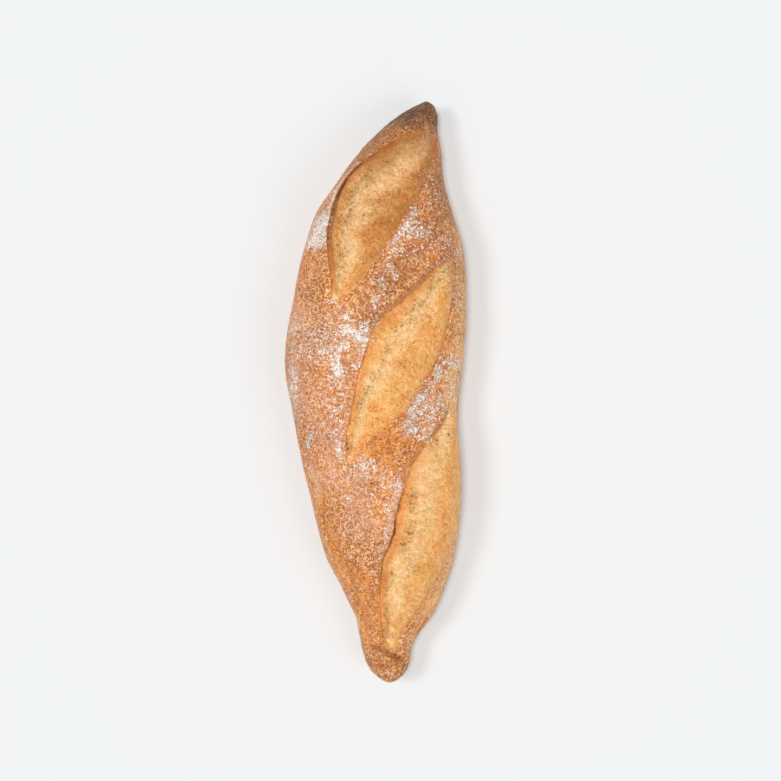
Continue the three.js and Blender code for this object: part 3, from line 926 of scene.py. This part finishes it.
def unroll_crust(mesh, ring, column, around):
    """Lays the crust out flat from a seam under the sole, each ring as wide as it is round. A face on the
    seam ends at the last column instead of the first."""
    while mesh.uv_layers:
        mesh.uv_layers.remove(mesh.uv_layers[0])
    corners = np.empty(len(mesh.loops), int)
    mesh.loops.foreach_get("vertex_index", corners)
    starts = np.empty(len(mesh.polygons), int)
    mesh.polygons.foreach_get("loop_start", starts)
    counts = np.diff(np.append(starts, len(corners)))
    at_pole = (ring[corners] == 0) | (ring[corners] == RINGS)
    most = np.maximum.reduceat(np.where(at_pole, 0, column[corners]), starts)
    crossing = np.repeat(most, counts) > column[corners] + COLUMNS // 2
    unrolled = around[ring[corners], np.where(crossing & ~at_pole, COLUMNS, column[corners])]
    across = 0.5 + 0.49 * unrolled / np.abs(around).max()
    along = 0.01 + 0.98 * ring[corners] / RINGS
    uv = np.stack((across, along), -1)
    mesh.uv_layers.new(name="OFBake").data.foreach_set("uv", uv.ravel().astype(np.float32))


class LoafSettings(bpy.types.PropertyGroup):
    length: bpy.props.FloatProperty(
        name="Length", description="From tip to tip",
        default=LOAF_BOX[1][1] - LOAF_BOX[0][1], unit="LENGTH")
    width: bpy.props.FloatProperty(
        name="Width", description="From the left flank's furthest point to the right flank's",
        default=LOAF_BOX[1][0] - LOAF_BOX[0][0], unit="LENGTH")


class StageSettings(bpy.types.PropertyGroup):
    floor_colour: bpy.props.FloatVectorProperty(
        name="Floor colour", description="Colour of the plain floor",
        default=(0.755, 0.77, 0.778), subtype="COLOR")
    sky_strength: bpy.props.FloatProperty(
        name="Sky", description="Strength of the even light from all round", default=0.24)
    top_strength: bpy.props.FloatProperty(
        name="Top light", description="Strength of the light from almost straight above", default=1.82)
    side_strength: bpy.props.FloatProperty(
        name="Side light", description="Strength of the soft light from the left", default=0.8)
    fill_strength: bpy.props.FloatProperty(
        name="Fill light", description="Strength of the broad light from the near right", default=0.4)
    lens: bpy.props.FloatProperty(
        name="Lens", description="Focal length of the camera in millimetres", default=135)
    view_width: bpy.props.FloatProperty(
        name="View width", description="Width seen at the height where the loaf is about widest",
        default=0.4428, unit="LENGTH")


class BAGUETTE_OT_loaf(bpy.types.Operator):
    """Bake the loaf: shape a sphere into it, open its slashes and give it its crust"""

    bl_idname = "baguette.loaf"
    bl_label = "Loaf"

    def execute(self, context):
        bpy.ops.object.select_all(action="DESELECT")
        bpy.ops.mesh.primitive_uv_sphere_add(segments=COLUMNS, ring_count=RINGS, radius=1)
        loaf = context.object
        loaf.name = "baked_loaf"
        mesh = loaf.data
        mesh.name = "baked_loaf"
        ring, column = round_grid(mesh)

        baked = Loaf()
        place = ring * (COLUMNS + 1) + column
        points = baked.points()[place]
        settings = context.scene.baguette_loaf
        mesh.vertices.foreach_set("co", sized(points, settings.width, settings.length).ravel())
        note_fields(mesh, baked, place, points)
        unroll_crust(mesh, ring, column, baked.around)

        bpy.ops.object.mode_set(mode="EDIT")
        bpy.ops.mesh.select_all(action="SELECT")
        bpy.ops.mesh.normals_make_consistent(inside=False)
        bpy.ops.object.mode_set(mode="OBJECT")
        bpy.ops.object.shade_smooth()
        mesh.materials.append(crust_finish())
        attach(loaf, "root")
        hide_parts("loaf")
        return {"FINISHED"}


class BAGUETTE_OT_stage(bpy.types.Operator):
    """Lay a pale floor that curves up into a far backdrop, and set the lights and the camera above"""

    bl_idname = "baguette.stage"
    bl_label = "Stage"

    def execute(self, context):
        settings = context.scene.baguette_stage
        bpy.ops.object.select_all(action="DESELECT")
        bpy.ops.mesh.primitive_circle_add(vertices=FLOOR_SIDES, radius=FLOOR_RADIUS, fill_type="NGON")
        floor = context.object
        floor.name = "studio_floor"
        bpy.ops.object.mode_set(mode="EDIT")
        bpy.ops.mesh.select_all(action="SELECT")
        reach, height = FLOOR_RADIUS, 0
        for turn in range(CURVE_STEP, 91, CURVE_STEP):
            new_reach = FLOOR_RADIUS + CURVE_RADIUS * math.sin(math.radians(turn))
            new_height = CURVE_RADIUS * (1 - math.cos(math.radians(turn)))
            grow = new_reach / reach
            bpy.ops.mesh.extrude_region_move(TRANSFORM_OT_translate={"value": (0, 0, new_height - height)})
            bpy.ops.transform.resize(value=(grow, grow, 1))
            reach, height = new_reach, new_height
        bpy.ops.mesh.delete(type="ONLY_FACE")
        bpy.ops.object.mode_set(mode="OBJECT")
        bpy.ops.object.shade_smooth()
        floor.data.materials.append(floor_finish(settings.floor_colour))

        world = bpy.data.worlds.new("studio_sky")
        world.use_nodes = True
        sky = world.node_tree.nodes["Background"]
        sky.inputs["Color"].default_value = (1, 1, 1, 1)
        sky.inputs["Strength"].default_value = settings.sky_strength
        context.scene.world = world

        # Name, strength, and in degrees the turns about X and Y from straight above, and the spread.
        lights = (
            ("top_light", settings.top_strength, 0, -3, 14),
            ("side_light", settings.side_strength, -3, -28, 15),
            ("fill_light", settings.fill_strength, 20, 32, 30),
        )
        for name, strength, tilt, lean, spread in lights:
            bpy.ops.object.light_add(type="SUN", rotation=(math.radians(tilt), math.radians(lean), 0))
            light = context.object
            light.name = name
            light.data.energy = strength
            light.data.angle = math.radians(spread)

        distance = settings.view_width * settings.lens / SENSOR_WIDTH
        bpy.ops.object.camera_add(location=(AIM[0], AIM[1], AIM[2] + distance), rotation=(0, 0, 0))
        camera = context.object
        camera.name = "overhead_camera"
        camera.data.lens = settings.lens
        camera.data.clip_end = 100
        context.scene.camera = camera
        context.scene.view_settings.view_transform = "Standard"
        return {"FINISHED"}


class BAGUETTE_PT_panel(bpy.types.Panel):
    bl_label = "Baguette"
    bl_idname = "BAGUETTE_PT_panel"
    bl_space_type = "VIEW_3D"
    bl_region_type = "UI"
    bl_category = "Baguette"

    def draw(self, context):
        for step in ("loaf", "stage"):
            box = self.layout.box()
            group = getattr(context.scene, "baguette_" + step)
            for name in group.bl_rna.properties.keys():
                if name not in ("rna_type", "name"):
                    box.prop(group, name)
            box.operator("baguette." + step)


CLASSES = (LoafSettings, StageSettings, BAGUETTE_OT_loaf, BAGUETTE_OT_stage, BAGUETTE_PT_panel)


def register():
    for cls in CLASSES:
        bpy.utils.register_class(cls)
    bpy.types.Scene.baguette_loaf = bpy.props.PointerProperty(type=LoafSettings)
    bpy.types.Scene.baguette_stage = bpy.props.PointerProperty(type=StageSettings)


def unregister():
    del bpy.types.Scene.baguette_stage
    del bpy.types.Scene.baguette_loaf
    for cls in reversed(CLASSES):
        bpy.utils.unregister_class(cls)


def main():
    """Builds the loaf and the stage."""
    register()
    bpy.ops.baguette.loaf()
    bpy.ops.baguette.stage()


if __name__ == "__main__":
    main()
